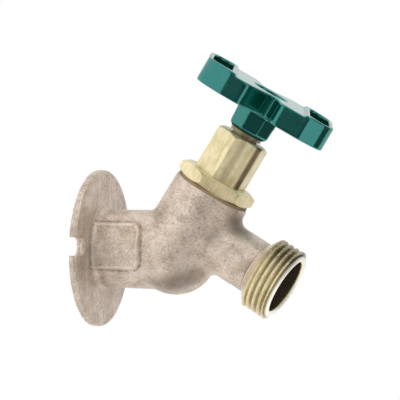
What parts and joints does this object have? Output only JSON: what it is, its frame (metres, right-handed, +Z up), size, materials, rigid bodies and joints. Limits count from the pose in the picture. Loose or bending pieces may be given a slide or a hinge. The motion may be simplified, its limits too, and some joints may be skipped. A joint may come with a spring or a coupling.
{
  "type": "sillcock",
  "caption": "Anti-siphon wall sillcock: flanged inlet, globe body, angled bonnet and packing nut, oblong green handle, hose-thread outlet turned down.",
  "frame": {"origin": "centre of the inlet opening in the flange's back face, on the inlet axis", "axes": "+X out of the wall along the inlet, +Z up, Y = 0 is the plane that holds the inlet, bonnet and outlet axes"},
  "size_m": [0.0871, 0.0552, 0.0984],
  "materials": {
    "cast_bronze": "sand cast, tumbled, matt pinkish bronze",
    "machined_brass": "turned, satin",
    "green_enamel": "baked gloss enamel",
    "stainless": "plated",
    "black_rubber": "moulded",
    "fibre": "pressed fibre sheet",
    "graphite": "braided packing",
    "white_acetal": "moulded"
  },
  "bodies": {
    "body": {"valve_body": "cast_bronze", "seat_ring": "machined_brass", "bonnet_gasket": "fibre", "bonnet": "machined_brass", "packing_nut": "machined_brass", "packing_washer": "machined_brass", "stem_packing": "graphite", "gland_ring": "machined_brass"},
    "disc_carrier": {"disc_holder": "machined_brass", "seat_washer": "black_rubber", "washer_screw": "stainless", "retaining_clip": "stainless"},
    "stem_and_handle": {"stem": "machined_brass", "handle": "green_enamel", "handle_screw": "stainless", "lock_washer": "stainless"},
    "float": {"vacuum_float": "white_acetal", "float_seal": "black_rubber"}
  },
  "joints": [
    {"name": "stem_lift", "type": "slide", "parent": "body", "child": "disc_carrier", "axis": [0.5, 0, 0.866], "range_m": [0, 0.00508]},
    {"name": "handle_turn", "type": "hinge", "parent": "disc_carrier", "child": "stem_and_handle", "pos_m": [0.0305, 0, 0], "axis": [0.5, 0, 0.866], "range_deg": [0, 720]},
    {"name": "float_lift", "type": "slide", "parent": "disc_carrier", "child": "float", "axis": [0.5, 0, 0.866], "range_m": [0, 0.0014]}
  ],
  "couplings": [
    {"joint": "stem_lift", "follows": "handle_turn", "m_per_rad": 0.00040425}
  ]
}
